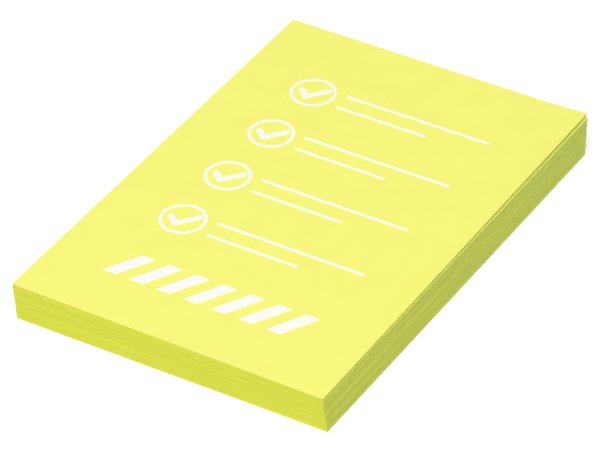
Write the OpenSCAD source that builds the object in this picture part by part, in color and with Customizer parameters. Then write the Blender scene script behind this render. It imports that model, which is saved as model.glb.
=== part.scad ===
// A pad of small yellow notes, each with a strip of adhesive under one short end.
// X runs across the pad, Y along it towards the glued end, and Z up from the table.
// The origin is on the table, under the middle of the pad. All sizes are in millimetres.

/* [Notes] */
// Width of a note, along its glued end
note_w = 50; // [38:1:102]
// Length of a note, from its loose end to its glued end
note_l = 75; // [64:1:127]
// Number of notes in the pad
note_count = 80; // [40:4:160]
// Thickness of a note's paper
paper_t = 0.075; // [0.06:0.005:0.12]
// Thickness that the adhesive adds to a note at its glued end
adhesive_t = 0.02; // [0.01:0.005:0.03]

/* [Pile] */
// Notes in a sheaf, whose cut edges line up
sheaf_notes = 4; // [2:1:10]
// How far the top note is pushed across the pad, against the bottom one
push_x = 0.25; // [-0.6:0.05:0.6]
// How far the top note is pushed along the pad, against the bottom one
push_y = -0.7; // [-1.5:0.05:1.5]
// How far the top note is turned against the bottom one, in degrees
turn = -0.6; // [-1:0.1:1]
// How far a sheaf may stray across the pad from the line of the pile
stray_x = 0.03; // [0.01:0.01:0.1]
// How far a sheaf may stray along the pad
stray_y = 0.02; // [0.01:0.01:0.1]
// How far the cover and the top sheaf lie to the left of the other sheaves
top_shift = 0.09; // [0:0.01:0.3]
// How far the cover and the top sheaf are turned on the other sheaves, in degrees
top_turn = 0.1; // [-0.3:0.05:0.3]
// How far a sheaf presses into the sheaf below, as a share of a note's thickness
press = 0.2; // [0.1:0.05:0.5]

/* [Cover] */
// Thickness of the printed cover sheet
cover_t = 0.1; // [0.06:0.01:0.3]
// Height to which the cover's corner has curled up from the top note
curl_h = 0.3; // [0.1:0.05:1]
// Width of the curled side at the glued end
curl_w = 8; // [4:0.5:14]
// Width of the curled side at the loose end
curl_start_w = 2; // [0.5:0.5:4]

/* [Liner] */
// Thickness of the liner that covers the adhesive of the last note
liner_t = 0.1; // [0.06:0.01:0.3]

/* [Print] */
// Thickness of the printed ink
ink_t = 0.03; // [0.02:0.01:0.06]
// Clear paper between the print and the flat edges of the cover
print_margin = 9; // [5:0.5:12]
// Clear paper between the print and the curled side
curl_clear = 1; // [0.5:0.5:4]
// Number of rows in the printed list
row_count = 4; // [2:1:5]
// Diameter of the ring that starts a row
ring_d = 7; // [4:0.5:8]
// Width of the printed lines
line_w = 0.5; // [0.3:0.1:0.8]
// Length of the long arm of the tick in a ring
tick_long = 3.6; // [2:0.2:4]
// Length of the short arm of the tick
tick_short = 1.8; // [1:0.2:3]
// Clear paper between a ring and the writing lines beside it
ring_gap = 1.5; // [0.5:0.5:4]
// Distance between the two writing lines of a row
writing_gap = 3; // [2:0.2:4]
// Share of the first writing line's length that the second one has
second_share = 0.62; // [0.3:0.02:1]
// Clear paper between the list and the band
list_gap = 4; // [2:0.5:8]
// Height of the printed band at the loose end
band_h = 5.5; // [3:0.5:8]
// Number of slanted bars in the band
bar_count = 7; // [4:1:12]
// Slant of a bar, in degrees from upright
bar_slant = 30; // [0:5:40]

/* [Hidden] */

// The pile rises towards the glued end, because the adhesive thickens each note there
rise = note_count * adhesive_t / note_l;
top_tilt = atan(rise);
function pile_z(notes, y) = liner_t + notes * (paper_t + adhesive_t * (y / note_l + 0.5));

// A cutting block reaches past the pile by this much on every side
spare = 5;
cut_w = note_w + 2 * spare;
cut_l = note_l + 2 * spare;
cut_h = pile_z(note_count, note_l) + cover_t + curl_h + spare;

// Sheaves, and where each one strays to
sheaf_count = ceil(note_count / sheaf_notes);
stray_seed = 6;
strays_x = rands(-stray_x, stray_x, sheaf_count, stray_seed);
strays_y = rands(-stray_y, stray_y, sheaf_count, stray_seed + 1);

// The curl starts at a line that runs askew under the cover, and rises with the square of the
// distance from that line. Its creases are set so that none runs through a corner of the cover
curl_turn = atan((curl_w - curl_start_w) / note_l);
curl_reach = curl_w * cos(curl_turn);
curl_mid_x = note_w / 2 - (curl_w + curl_start_w) / 2;
curl_steps = 8;
crease_offset = 0.37;
creases = [for (step = [1 : curl_steps + 1]) (step - crease_offset) * curl_reach / curl_steps];
function curl_z(distance) = curl_h * pow(distance / curl_reach, 2);

// The print keeps to the flat part of the cover
print_left = -note_w / 2 + print_margin;
print_right = note_w / 2 - curl_w - curl_clear;
print_back = note_l / 2 - print_margin;
print_front = -note_l / 2 + print_margin;
row_pitch = (print_back - print_front - band_h - list_gap) / row_count;
writing_left = print_left + ring_d + ring_gap;
writing_l = print_right - writing_left;
tick_angle = 50;
curve_sides = 48;

// A bar of the band is as wide as the space beside it
slant_shift = band_h * tan(bar_slant);
bar_w = (print_right - print_left - slant_shift) / (2 * bar_count - 1);

// Share of the push and turn at a height, from -0.5 on the table to 0.5 on top
function drift(share) = share - 0.5;

// Moves a shape with the notes at a share of the pile's height
module drifted(share) {
    translate([push_x * drift(share), push_y * drift(share), 0])
        rotate(turn * drift(share))
            children();
}

// Moves a shape with the cover and the top sheaf, which slid on the other sheaves
module slid() {
    translate([-top_shift, 0, 0])
        rotate(top_turn)
            children();
}

// Places a shape, drawn on the middle of the cover's underside, on the sloping face of the top note
module on_top_note() {
    translate([0, 0, pile_z(note_count, 0)])
        rotate([top_tilt, 0, 0])
            drifted(1)
                slid()
                    children();
}

// Wedge between the undersides of two notes, wider and longer than the pad
module wedge(first, last) {
    front = -cut_l / 2;
    back = cut_l / 2;
    rotate([90, 0, 90])
        linear_extrude(height = cut_w, center = true)
            polygon([
                [front, pile_z(first, front)],
                [back, pile_z(first, back)],
                [back, pile_z(last, back)],
                [front, pile_z(last, front)]
            ]);
}

// A sheaf's outline, cut from top to bottom, where the sheaf has strayed to
module strayed(index) {
    translate([strays_x[index], strays_y[index], 0])
        linear_extrude(height = cut_h)
            square([note_w, note_l], center = true);
}

// Some notes whose edges line up. The first sheaf rests on the liner, each other one on a sheaf
module sheaf(index) {
    first = index * sheaf_notes;
    last = min(first + sheaf_notes, note_count);
    intersection() {
        drifted(last / note_count)
            if (last == note_count)
                slid() strayed(index);
            else
                strayed(index);
        wedge(index == 0 ? 0 : first - press, last);
    }
}

// All notes, held together by their adhesive
module note_block() {
    color([0.83, 0.86, 0.28])
        for (index = [0 : sheaf_count - 1])
            sheaf(index);
}

// Sheet that lies flat on the left and curls up past the curl's line on the right
module curled_sheet() {
    lower = [for (distance = concat([-cut_l, 0], creases)) [distance, curl_z(max(0, distance))]];
    upper = [for (index = [len(lower) - 1 : -1 : 0]) lower[index] + [0, cover_t]];
    translate([curl_mid_x, 0, 0])
        rotate([90, 0, curl_turn])
            linear_extrude(height = 2 * cut_l, center = true)
                polygon(concat(lower, upper));
}

// Printed sheet on top of the notes
module cover_sheet() {
    color([0.96, 0.96, 0.5])
        on_top_note()
            intersection() {
                linear_extrude(height = cut_h)
                    square([note_w, note_l], center = true);
                curled_sheet();
            }
}

// Liner under the last note
module liner() {
    color([0.87, 0.88, 0.68])
        drifted(0)
            linear_extrude(height = liner_t)
                square([note_w, note_l], center = true);
}

// Line with round ends, from a start point in a direction
module stroke(start, length, direction, width) {
    translate(start)
        rotate(direction) {
            translate([0, -width / 2])
                square([length, width]);
            circle(d = width, $fn = curve_sides);
            translate([length, 0])
                circle(d = width, $fn = curve_sides);
        }
}

// Tick whose arms meet at right angles, centred in its ring
module tick() {
    across = tick_long * cos(tick_angle) - tick_short * sin(tick_angle);
    elbow = [-across / 2, -tick_long * sin(tick_angle) / 2];
    stroke(elbow, tick_long, tick_angle, 2 * line_w);
    stroke(elbow, tick_short, tick_angle + 90, 2 * line_w);
}

// Ring with a tick, and two writing lines beside it
module list_row() {
    translate([print_left + ring_d / 2, 0]) {
        difference() {
            circle(d = ring_d, $fn = curve_sides);
            circle(d = ring_d - 2 * line_w, $fn = curve_sides);
        }
        tick();
    }
    stroke([writing_left, writing_gap / 2], writing_l, 0, line_w);
    stroke([writing_left, -writing_gap / 2], writing_l * second_share, 0, line_w);
}

// Slanted bar of the band
module slanted_bar(index) {
    left = print_left + 2 * index * bar_w;
    right = left + bar_w;
    top = print_front + band_h;
    polygon([
        [left, print_front],
        [right, print_front],
        [right + slant_shift, top],
        [left + slant_shift, top]
    ]);
}

// Ink on the cover: a list to tick off, and a band of slanted bars
module cover_print() {
    color("white")
        on_top_note()
            translate([0, 0, cover_t])
                linear_extrude(height = ink_t) {
                    for (row = [0 : row_count - 1])
                        translate([0, print_back - (row + 0.5) * row_pitch])
                            list_row();
                    for (index = [0 : bar_count - 1])
                        slanted_bar(index);
                }
}

cover_print();
cover_sheet();
note_block();
liner();
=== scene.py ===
"""A pad of small yellow notes with a printed cover sheet, lying on a white floor."""
import math
import random

import bpy
from mathutils import Matrix, Vector, noise
from mathutils.bvhtree import BVHTree


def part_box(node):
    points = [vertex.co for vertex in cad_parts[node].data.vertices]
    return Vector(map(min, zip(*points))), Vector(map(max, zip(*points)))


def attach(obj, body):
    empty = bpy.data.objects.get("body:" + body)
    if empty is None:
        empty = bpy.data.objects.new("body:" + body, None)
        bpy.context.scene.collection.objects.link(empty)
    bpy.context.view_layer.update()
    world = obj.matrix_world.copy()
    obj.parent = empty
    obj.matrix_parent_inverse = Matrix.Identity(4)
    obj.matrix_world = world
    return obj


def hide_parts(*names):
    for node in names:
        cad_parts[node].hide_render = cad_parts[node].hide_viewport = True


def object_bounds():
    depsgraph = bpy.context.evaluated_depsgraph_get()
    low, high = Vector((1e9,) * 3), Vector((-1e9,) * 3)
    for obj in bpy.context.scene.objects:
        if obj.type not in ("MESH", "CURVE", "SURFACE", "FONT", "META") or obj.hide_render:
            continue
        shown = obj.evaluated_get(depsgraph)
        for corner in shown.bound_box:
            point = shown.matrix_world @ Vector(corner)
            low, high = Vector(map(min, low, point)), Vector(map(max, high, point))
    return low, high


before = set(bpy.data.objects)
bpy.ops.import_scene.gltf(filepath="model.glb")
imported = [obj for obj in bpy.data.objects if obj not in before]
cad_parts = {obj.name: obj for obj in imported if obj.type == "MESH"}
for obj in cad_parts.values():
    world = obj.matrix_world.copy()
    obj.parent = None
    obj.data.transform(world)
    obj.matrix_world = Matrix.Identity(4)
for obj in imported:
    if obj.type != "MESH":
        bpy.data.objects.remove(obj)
cad_low, cad_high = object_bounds()

MM = 0.001

# Notes: how many there are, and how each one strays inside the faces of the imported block
NOTE_COUNT = 80
NOTE_INSET = 0.04 * MM
STRAY_ACROSS = 0.012 * MM
STRAY_ALONG = 0.005 * MM
STRAY_KEPT = 0.5
STRAY_SEED = 11
NOTE_TURN = math.radians(0.012)

# Cut edges: a slight wave along each note, with its own stretch of noise, and a groove between notes
EDGE_WAVE = 0.010 * MM
EDGE_WAVE_LENGTH = 9 * MM
EDGE_WAVE_APART = 3.7
EDGE_STEP = 2 * MM
GROOVE_DEPTH = 0.014 * MM

# A note's profile: levels from its underside up, each with its share of the groove's depth
NOTE_PROFILE = ((0, 1), (0.5, 0), (1, 1))

# The block's walls: rays meet them at this share of the way from a side's middle to its ends, and
# this many notes on either side even them out
RAY_SPREAD = 0.6
SMOOTH_NOTES = 2

# Notes of the top sheaf, set in further on their long sides, under the cover's shadow
TOP_NOTES = 4
TOP_INSET = 0.11 * MM

# Points of a CAD node this near to a corner count as part of it
CORNER_REACH = 0.05 * MM

# Cover: the width of its curled side, the waves in the curl, and the fineness of its grid
CURL_BACK_WIDTH = 8 * MM
CURL_FRONT_WIDTH = 2 * MM
CURL_WAVE = 0.12
CURL_WAVE_LENGTH = 18 * MM
CURL_WAVE_PLACE = 5
COVER_ACROSS = 100
COVER_ALONG = 90

# Colours, as linear values
COVER_YELLOW = (0.93, 0.92, 0.20, 1)
# Cover's cut edge: painted darker, as the shade under the cover's edge and in the gap below its curl
SHADED_COVER_EDGE = (0.60, 0.57, 0.02, 1)
NOTE_YELLOW = (0.95, 0.94, 0.24, 1)
# Notes' cut edges: two tones mixed at random, both painted darker than the faces as shade between the
# stacked sheets
SHADED_EDGE_YELLOW = (0.60, 0.60, 0.008, 1)
SHADED_EDGE_GREEN = (0.53, 0.575, 0.008, 1)
# Liner: a grey yellow, partly its own tone and partly painted shade along the pad's bottom edge
LINER_GREY_AND_SHADE = (0.72, 0.73, 0.52, 1)
INK_WHITE = (0.97, 0.97, 0.95, 1)
FLOOR_WHITE = (0.80, 0.80, 0.80, 1)
SHEEN_TINT = (0.5, 1.0, 0.8, 1)
GLOW_WHITE = (1, 1, 1, 1)

# Surfaces: the depth of their relief, and how they take the light
COVER_SURFACE = {"depth": 0.004 * MM, "roughness": 0.62, "specular": 0.25}
NOTE_SURFACE = {"depth": 0.004 * MM, "roughness": 0.6, "specular": 0.5, "sheen": 0.3}
LINER_SURFACE = {"depth": 0.003 * MM, "roughness": 0.42, "specular": 0.4}
INK_SURFACE = {"depth": 0.003 * MM, "roughness": 0.55, "specular": 0.3}

# Clouds in a colour: patches a metre, their detail, and the darkest and lightest tint
COVER_CLOUDS = {"scale": 220, "detail": 3.0, "low": 0.99, "high": 1.01}
LINER_CLOUDS = {"scale": 400, "detail": 4.0, "low": 0.96, "high": 1.04}
INK_CLOUDS = {"scale": 900, "detail": 3.0, "low": 0.98, "high": 1.0}

# Paper's relief: patches a metre and detail, and the share of each in the height
PAPER_CLOUD = {"scale": 700, "detail": 3.0}
PAPER_FIBRE = {"scale": 5000, "detail": 4.0}
CLOUD_SHARE = 0.4
FIBRE_SHARE = 0.6

# Streaks on the notes' cut edges: changes a note, and changes a metre along it
BAND_STREAKS = {"across": 0.22, "along": 15}
FINE_STREAKS = {"across": 0.7, "along": 30}
HUE_STREAKS = {"across": 0.3, "along": 60}
RELIEF_STREAKS = {"across": 1.7, "along": 300}
STREAK_DETAIL = 2.0
BAND_TINTS = (0.95, 1.05)
FINE_TINTS = (0.93, 1.07)
BAND_RELIEF = 11.0

# Values that noise mostly keeps between
NOISE_LOW = 0.3
NOISE_HIGH = 0.7

# Z of the normal, past which a surface is a sheet's face and not its cut edge
FLAT_NORMAL = 0.5

# Inputs and output of a Mix node that mixes colours
MIX_FACTOR, MIX_A, MIX_B = 0, 6, 7
MIX_RESULT = 2

# Floor: half its width, its drop below the pad, and the strength of the white that the camera sees
FLOOR_HALF = 2000 * MM
FLOOR_DROP = 0.02 * MM
FLOOR_GLOW = 0.45

# Lights: a cool surround, a slightly warm key and a cool fill on the right
WORLD_COLOUR = (0.90, 1.0, 1.03, 1)
WORLD_STRENGTH = 0.25
LIGHT_SIZE = 2.0
LIGHT_DISTANCE = 3.0
KEY_FROM = (0.2, -0.8, 1.0)
KEY_POWER = 96
KEY_COLOUR = (1.04, 1.0, 0.97)
FILL_FROM = (1.0, 0.2, 0.4)
FILL_POWER = 8.5
FILL_COLOUR = (0.75, 1.0, 0.95)

# Camera, from a fit to the pad's edges in the photograph
CAMERA_AZIMUTH = math.radians(31.18)
CAMERA_ELEVATION = math.radians(35.95)
CAMERA_ROLL = math.radians(-0.42)
CAMERA_TARGET = Vector((0.125, -2.5, 3.5)) * MM
CAMERA_DISTANCE = 559.6 * MM
CAMERA_LENS = 236.8
SENSOR_WIDTH = 36
CAMERA_CLIP = (0.05, 10)


def lerp(a, b, share):
    """The value or point a share of the way from a to b."""
    return a + (b - a) * share


def corner_heights(node, toward_x, toward_y):
    """A CAD node's corner in a direction: its place in plan, and its lowest and highest Z."""
    points = [v.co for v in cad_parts[node].data.vertices]
    corner = max(points, key=lambda p: toward_x * p.x + toward_y * p.y)
    heights = [p.z for p in points if (p.xy - corner.xy).length < CORNER_REACH]
    return corner.xy, min(heights), max(heights)


def crossing(a, b, c, d):
    """Where the line through a and b meets the line through c and d, in plan."""
    along, other = b - a, d - c
    share = (c - a).cross(other) / along.cross(other)
    return a + along * share


def set_in(corner, across, along):
    """A corner in plan, moved in by a distance across the pad and another one along it."""
    return corner - Vector((math.copysign(across, corner.x), math.copysign(along, corner.y)))


def mesh_object(name, vertices, faces):
    """A new object from points and flat faces."""
    mesh = bpy.data.meshes.new(name)
    mesh.from_pydata(vertices, [], faces)
    mesh.validate()
    mesh.update()
    mesh.shade_flat()
    thing = bpy.data.objects.new(name, mesh)
    bpy.context.scene.collection.objects.link(thing)
    return thing


class NotePile:
    """The notes between the liner and the cover, with each note's cut edge as a ridge."""

    def __init__(self):
        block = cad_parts["note_block"]
        self.tree = BVHTree.FromObject(block, bpy.context.evaluated_depsgraph_get())
        self.low, self.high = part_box("note_block")
        front, self.front_top, _ = corner_heights("cover_sheet", -1, -1)
        back, self.back_top, _ = corner_heights("cover_sheet", -1, 1)
        self.front_y, self.back_y = front.y, back.y
        self.walls = [self.wall(index + 0.5) for index in range(NOTE_COUNT)]
        self.draw = random.Random(STRAY_SEED)
        self.stray = Vector((0, 0))
        self.vertices = []
        self.faces = []

    def height(self, level, y):
        """Z of a level in the pile, counted in notes, at a place along the pad."""
        share = (y - self.front_y) / (self.back_y - self.front_y)
        top = self.front_top + (self.back_top - self.front_top) * share
        return self.low.z + (top - self.low.z) * level / NOTE_COUNT

    def wall(self, level):
        """Eight points on the block's walls, in plan, found by rays that run inside the note."""
        half = (self.high - self.low).xy / 2
        found = []
        for outward in (Vector((0, -1)), Vector((1, 0)), Vector((0, 1)), Vector((-1, 0))):
            tangent = Vector((-outward.y, outward.x))
            reach = abs(tangent.x) * half.x + abs(tangent.y) * half.y
            for side in (-RAY_SPREAD, RAY_SPREAD):
                start = tangent * reach * side
                slope = self.height(level, start.y + outward.y) - self.height(level, start.y)
                origin = Vector((start.x, start.y, self.height(level, start.y)))
                hit = self.tree.ray_cast(origin, Vector((outward.x, outward.y, slope)))[0]
                found.append(hit.xy)
        return found

    def smooth_wall(self, index, spot):
        """A point on the wall, evened out over the notes nearby. The top sheaf keeps its own wall."""
        split = NOTE_COUNT - TOP_NOTES
        first, last = (split, NOTE_COUNT - 1) if index >= split else (0, split - 1)
        near = range(max(first, index - SMOOTH_NOTES), min(last, index + SMOOTH_NOTES) + 1)
        return sum([self.walls[i][spot] for i in near], Vector((0, 0))) / len(near)

    def outline(self, index):
        """The note's corners in plan: those of the block at its height, set in, shifted and turned."""
        spots = [self.smooth_wall(index, spot) for spot in range(len(self.walls[index]))]
        sides = list(zip(spots[::2], spots[1::2]))
        corners = [crossing(*sides[i - 1], *side) for i, side in enumerate(sides)]
        step = Vector((self.draw.gauss(0, STRAY_ACROSS), self.draw.gauss(0, STRAY_ALONG)))
        self.stray = self.stray * STRAY_KEPT + step
        limit = NOTE_INSET - EDGE_WAVE
        shift = Vector([max(-limit, min(limit, part)) for part in self.stray])
        turn = Matrix.Rotation(self.draw.gauss(0, NOTE_TURN), 2)
        across = TOP_INSET if index >= NOTE_COUNT - TOP_NOTES else NOTE_INSET
        return [turn @ set_in(corner, across, NOTE_INSET) + shift for corner in corners]

    def ring(self, corners, index, level, pull):
        """Adds the points round one level of a note. A pull of 1 sets them in to the groove."""
        start = len(self.vertices)
        for i, corner in enumerate(corners):
            end = corners[(i + 1) % len(corners)]
            along = end - corner
            outward = Vector((along.y, -along.x)).normalized()
            steps = round(along.length / EDGE_STEP)
            for step in range(steps):
                point = corner + along * step / steps
                place = Vector((point.x, point.y, 0)) / EDGE_WAVE_LENGTH
                place.z = index * EDGE_WAVE_APART
                wave = EDGE_WAVE * noise.noise(place) if step else 0
                point = point + outward * (wave - pull * GROOVE_DEPTH)
                self.vertices.append((point.x, point.y, self.height(level, point.y)))
        return list(range(start, len(self.vertices)))

    def build(self):
        """One closed mesh: a wall of rings, with a face below and a face on top."""
        rings = []
        for index in range(NOTE_COUNT):
            corners = self.outline(index)
            for part, pull in NOTE_PROFILE:
                rings.append(self.ring(corners, index, index + part, pull))
        for lower, upper in zip(rings, rings[1:]):
            for i in range(len(lower)):
                j = (i + 1) % len(lower)
                self.faces.append((lower[i], lower[j], upper[j], upper[i]))
        self.faces.append(tuple(reversed(rings[0])))
        self.faces.append(tuple(rings[-1]))
        return mesh_object("note_pile", self.vertices, self.faces)


def build_cover():
    """The cover sheet: flat on the notes on the left, and curled up along its right side."""
    corners = {(x, y): corner_heights("cover_sheet", x, y) for x in (-1, 1) for y in (-1, 1)}
    front_left, front_under, front_top = corners[-1, -1]
    back_left, back_under, back_top = corners[-1, 1]
    front_right, back_right = corners[1, -1][0], corners[1, 1][0]
    curl_height = corners[1, 1][2] - back_top

    def lift(across, along):
        """Height of the curl over the flat sheet."""
        width = (front_right - front_left).length
        curl_width = lerp(CURL_FRONT_WIDTH, CURL_BACK_WIDTH, along)
        past = across * width - (width - curl_width)
        if past <= 0:
            return 0.0
        waves = along * (cad_high - cad_low).y / CURL_WAVE_LENGTH
        wave = noise.noise(Vector((0, waves, CURL_WAVE_PLACE)))
        return curl_height * (past / CURL_BACK_WIDTH) ** 2 * (1 - CURL_WAVE * abs(wave) * (1 - along))

    vertices = []
    for is_top in (False, True):
        for j in range(COVER_ALONG + 1):
            along = j / COVER_ALONG
            left, right = lerp(front_left, back_left, along), lerp(front_right, back_right, along)
            flat_z = lerp(front_top, back_top, along) if is_top else lerp(front_under, back_under, along)
            for i in range(COVER_ACROSS + 1):
                across = i / COVER_ACROSS
                point = lerp(left, right, across)
                vertices.append((point.x, point.y, flat_z + lift(across, along)))

    row, layer = COVER_ACROSS + 1, (COVER_ACROSS + 1) * (COVER_ALONG + 1)
    faces = []
    for j in range(COVER_ALONG):
        for i in range(COVER_ACROSS):
            a = j * row + i
            faces.append((a, a + row, a + row + 1, a + 1))
            faces.append((layer + a, layer + a + 1, layer + a + row + 1, layer + a + row))
    rim = list(range(row))
    rim += [j * row + COVER_ACROSS for j in range(1, COVER_ALONG + 1)]
    rim += [COVER_ALONG * row + i for i in range(COVER_ACROSS - 1, -1, -1)]
    rim += [j * row for j in range(COVER_ALONG - 1, 0, -1)]
    for a, b in zip(rim, rim[1:] + rim[:1]):
        faces.append((a, b, b + layer, a + layer))
    return mesh_object("cover", vertices, faces)


class Paint:
    """A node material under construction."""

    def __init__(self, name):
        self.material = bpy.data.materials.new(name)
        self.material.use_nodes = True
        self.tree = self.material.node_tree
        self.tree.nodes.clear()
        self.output = self.node("ShaderNodeOutputMaterial")
        self.coordinates = self.node("ShaderNodeTexCoord")

    def node(self, kind, inputs=None, **settings):
        """Adds a node. An input is given a value, or the output that feeds it."""
        node = self.tree.nodes.new(kind)
        for key, value in settings.items():
            setattr(node, key, value)
        for key, value in (inputs or {}).items():
            if isinstance(value, bpy.types.NodeSocket):
                self.tree.links.new(value, node.inputs[key])
            else:
                node.inputs[key].default_value = value
        return node

    def math(self, operation, a, b=0.0):
        """The result of a sum or the like."""
        return self.node("ShaderNodeMath", {0: a, 1: b}, operation=operation).outputs[0]

    def mix(self, factor, a, b):
        """A colour between two colours."""
        inputs = {MIX_FACTOR: factor, MIX_A: a, MIX_B: b}
        return self.node("ShaderNodeMix", inputs, data_type="RGBA").outputs[MIX_RESULT]

    def noise(self, scale, detail, vector=None):
        """Noise from 0 to 1, with a scale in patches a metre."""
        place = vector or self.coordinates.outputs["Object"]
        inputs = {"Vector": place, "Scale": scale, "Detail": detail}
        return self.node("ShaderNodeTexNoise", inputs).outputs["Fac"]

    def spread(self, value, low, high):
        """A noise's value spread over a new range."""
        inputs = {0: value, 1: NOISE_LOW, 2: NOISE_HIGH, 3: low, 4: high}
        return self.node("ShaderNodeMapRange", inputs).outputs[0]

    def tint(self, colour, amount):
        """A colour made lighter or darker by an amount around 1."""
        grey = self.node("ShaderNodeCombineColor", {0: amount, 1: amount, 2: amount}).outputs[0]
        inputs = {MIX_FACTOR: 1.0, MIX_A: colour, MIX_B: grey}
        settings = {"data_type": "RGBA", "blend_type": "MULTIPLY"}
        return self.node("ShaderNodeMix", inputs, **settings).outputs[MIX_RESULT]

    def clouds(self, colour, scale, detail, low, high):
        """A colour that is darker and lighter in patches."""
        return self.tint(colour, self.spread(self.noise(scale, detail), low, high))

    def finish(self, colour, height, depth, roughness, specular, sheen=0.0):
        """Ends the material in paper with a bumpy surface, and a sheen of loose fibres."""
        bump = self.node("ShaderNodeBump", {"Height": height, "Distance": depth, "Strength": 1.0})
        inputs = {
            "Base Color": colour,
            "Normal": bump.outputs[0],
            "Roughness": roughness,
            "Specular IOR Level": specular,
            "Sheen Weight": sheen,
            "Sheen Tint": SHEEN_TINT,
        }
        surface = self.node("ShaderNodeBsdfPrincipled", inputs)
        self.tree.links.new(surface.outputs[0], self.output.inputs["Surface"])
        return self.material

    def fibres(self):
        """Height of the paper's surface: a cloudy sheet with fine fibres on it."""
        cloud = self.math("MULTIPLY", self.noise(**PAPER_CLOUD), CLOUD_SHARE)
        fibre = self.math("MULTIPLY", self.noise(**PAPER_FIBRE), FIBRE_SHARE)
        return self.math("ADD", cloud, fibre)

    def upright(self):
        """1 on the sheets' faces, and 0 on their cut edges, which take a colour painted darker as shade.
        """
        normal = self.node("ShaderNodeSeparateXYZ", {0: self.coordinates.outputs["Normal"]})
        flat = self.math("ABSOLUTE", normal.outputs["Z"])
        return self.math("GREATER_THAN", flat, FLAT_NORMAL)

    def notes_up(self, pile, place):
        """Level in the pile, counted in notes, so that streaks follow the wedge of the sheets."""
        length = pile.back_y - pile.front_y
        rise = (pile.back_top - pile.front_top) / length
        middle = (pile.front_top + pile.back_top) / 2 - pile.low.z
        thickness = self.math("ADD", self.math("MULTIPLY", place.outputs["Y"], rise), middle)
        above = self.math("SUBTRACT", place.outputs["Z"], pile.low.z)
        return self.math("MULTIPLY", self.math("DIVIDE", above, thickness), NOTE_COUNT)

    def streaks(self, pile, across, along):
        """Noise that changes quickly from note to note, and slowly along a note."""
        place = self.node("ShaderNodeSeparateXYZ", {0: self.coordinates.outputs["Object"]})
        level = self.notes_up(pile, place)
        inputs = {
            0: self.math("MULTIPLY", place.outputs["X"], along),
            1: self.math("MULTIPLY", place.outputs["Y"], along),
            2: self.math("MULTIPLY", level, across),
        }
        vector = self.node("ShaderNodeCombineXYZ", inputs).outputs[0]
        return self.noise(1.0, STREAK_DETAIL, vector)


def cover_paper():
    """Printed yellow paper, with cut edges painted darker as shade."""
    paint = Paint("cover_paper")
    face = paint.clouds(COVER_YELLOW, **COVER_CLOUDS)
    # Cut edges take the painted shade, faces the paper's own clouded yellow
    colour = paint.mix(paint.upright(), SHADED_COVER_EDGE, face)
    return paint.finish(colour, paint.fibres(), **COVER_SURFACE)


def note_paper(pile):
    """Yellow paper whose cut edges are streaked along the notes, and painted darker than the faces as
    shade between the stacked sheets.
    """
    paint = Paint("note_paper")
    bands = paint.streaks(pile, **BAND_STREAKS)
    wide = paint.spread(bands, *BAND_TINTS)
    fine = paint.spread(paint.streaks(pile, **FINE_STREAKS), *FINE_TINTS)
    green = paint.spread(paint.streaks(pile, **HUE_STREAKS), 0, 1)
    shaded_hue = paint.mix(green, SHADED_EDGE_YELLOW, SHADED_EDGE_GREEN)
    # The cut edges' colour carries painted shade between the sheets, streaked along the notes
    edge = paint.tint(shaded_hue, paint.math("MULTIPLY", wide, fine))
    colour = paint.mix(paint.upright(), edge, NOTE_YELLOW)
    ridges = paint.streaks(pile, **RELIEF_STREAKS)
    relief = paint.math("ADD", paint.math("MULTIPLY", bands, BAND_RELIEF), ridges)
    return paint.finish(colour, relief, **NOTE_SURFACE)


def liner_paper():
    """Thin release paper, a little glazed, its grey partly the liner's own tone and partly painted shade
    along the pad's bottom edge.
    """
    paint = Paint("liner_paper")
    colour = paint.clouds(LINER_GREY_AND_SHADE, **LINER_CLOUDS)
    return paint.finish(colour, paint.fibres(), **LINER_SURFACE)


def white_ink():
    """White ink that lets a little of the paper's cloudiness through."""
    paint = Paint("white_ink")
    colour = paint.clouds(INK_WHITE, **INK_CLOUDS)
    return paint.finish(colour, paint.fibres(), **INK_SURFACE)


def floor_white():
    """White floor that the camera sees as white, and that keeps the pad's shadow."""
    paint = Paint("floor_white")
    seen = paint.node("ShaderNodeLightPath")
    rays = [seen.outputs[name] for name in ("Is Camera Ray", "Is Glossy Ray", "Is Transmission Ray")]
    any_ray = paint.math("MAXIMUM", paint.math("MAXIMUM", rays[0], rays[1]), rays[2])
    matte = paint.node("ShaderNodeBsdfDiffuse", {"Color": FLOOR_WHITE})
    strength = paint.math("MULTIPLY", any_ray, FLOOR_GLOW)
    glow = paint.node("ShaderNodeEmission", {"Color": GLOW_WHITE, "Strength": strength})
    both = paint.node("ShaderNodeAddShader", {0: matte.outputs[0], 1: glow.outputs[0]})
    paint.tree.links.new(both.outputs[0], paint.output.inputs["Surface"])
    return paint.material


def dress(thing, material):
    """Gives all of a thing one material."""
    thing.data.materials.clear()
    thing.data.materials.append(material)


def add_floor():
    """A floor that reaches far past the view."""
    sides = ((-1, -1), (1, -1), (1, 1), (-1, 1))
    corners = [(x * FLOOR_HALF, y * FLOOR_HALF, 0) for x, y in sides]
    floor = mesh_object("floor", corners, [(0, 1, 2, 3)])
    floor.location.z = -FLOOR_DROP
    dress(floor, floor_white())


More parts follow.
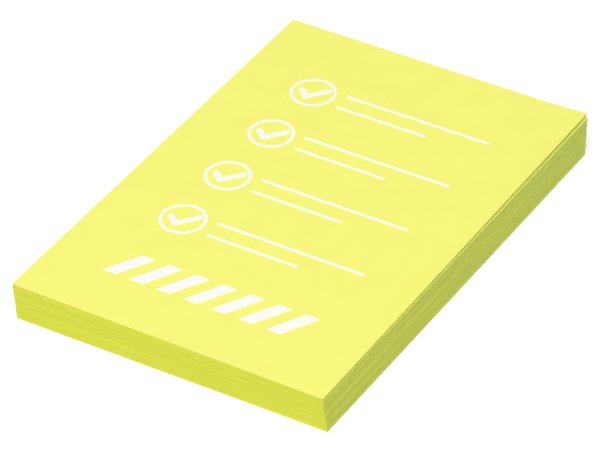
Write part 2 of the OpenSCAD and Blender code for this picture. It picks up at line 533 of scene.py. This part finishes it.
def add_light(name, direction, power, colour):
    """A square soft light that shines at the pad from a direction."""
    lamp = bpy.data.lights.new(name, "AREA")
    lamp.size = LIGHT_SIZE
    lamp.energy = power
    lamp.color = colour
    thing = bpy.data.objects.new(name, lamp)
    bpy.context.scene.collection.objects.link(thing)
    back = Vector(direction).normalized()
    thing.location = back * LIGHT_DISTANCE
    thing.rotation_mode = "QUATERNION"
    thing.rotation_quaternion = back.to_track_quat("Z", "Y")


def add_world():
    """Even light from all round."""
    world = bpy.data.worlds.new("studio")
    world.use_nodes = True
    background = world.node_tree.nodes["Background"]
    background.inputs["Color"].default_value = WORLD_COLOUR
    background.inputs["Strength"].default_value = WORLD_STRENGTH
    bpy.context.scene.world = world


def add_camera():
    """The camera at the photograph's angle."""
    flat = math.cos(CAMERA_ELEVATION)
    back = Vector((
        math.sin(CAMERA_AZIMUTH) * flat,
        -math.cos(CAMERA_AZIMUTH) * flat,
        math.sin(CAMERA_ELEVATION),
    ))
    level = Vector((math.cos(CAMERA_AZIMUTH), math.sin(CAMERA_AZIMUTH), 0))
    up = back.cross(level)
    right = level * math.cos(CAMERA_ROLL) + up * math.sin(CAMERA_ROLL)
    up = back.cross(right)
    data = bpy.data.cameras.new("camera")
    data.lens = CAMERA_LENS
    data.sensor_width = SENSOR_WIDTH
    data.clip_start, data.clip_end = CAMERA_CLIP
    camera = bpy.data.objects.new("camera", data)
    bpy.context.scene.collection.objects.link(camera)
    axes = Matrix((right, up, back)).transposed().to_4x4()
    camera.matrix_world = Matrix.Translation(CAMERA_TARGET + back * CAMERA_DISTANCE) @ axes
    bpy.context.scene.camera = camera


add_camera()
add_floor()
add_world()
add_light("key", KEY_FROM, KEY_POWER, KEY_COLOUR)
add_light("fill", FILL_FROM, FILL_POWER, FILL_COLOUR)
bpy.context.scene.view_settings.view_transform = "Standard"

pile = NotePile()
notes = pile.build()
dress(notes, note_paper(pile))
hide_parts("note_block")
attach(notes, "root")

cover = build_cover()
dress(cover, cover_paper())
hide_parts("cover_sheet")
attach(cover, "root")

dress(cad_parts["cover_print"], white_ink())
dress(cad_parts["liner"], liner_paper())
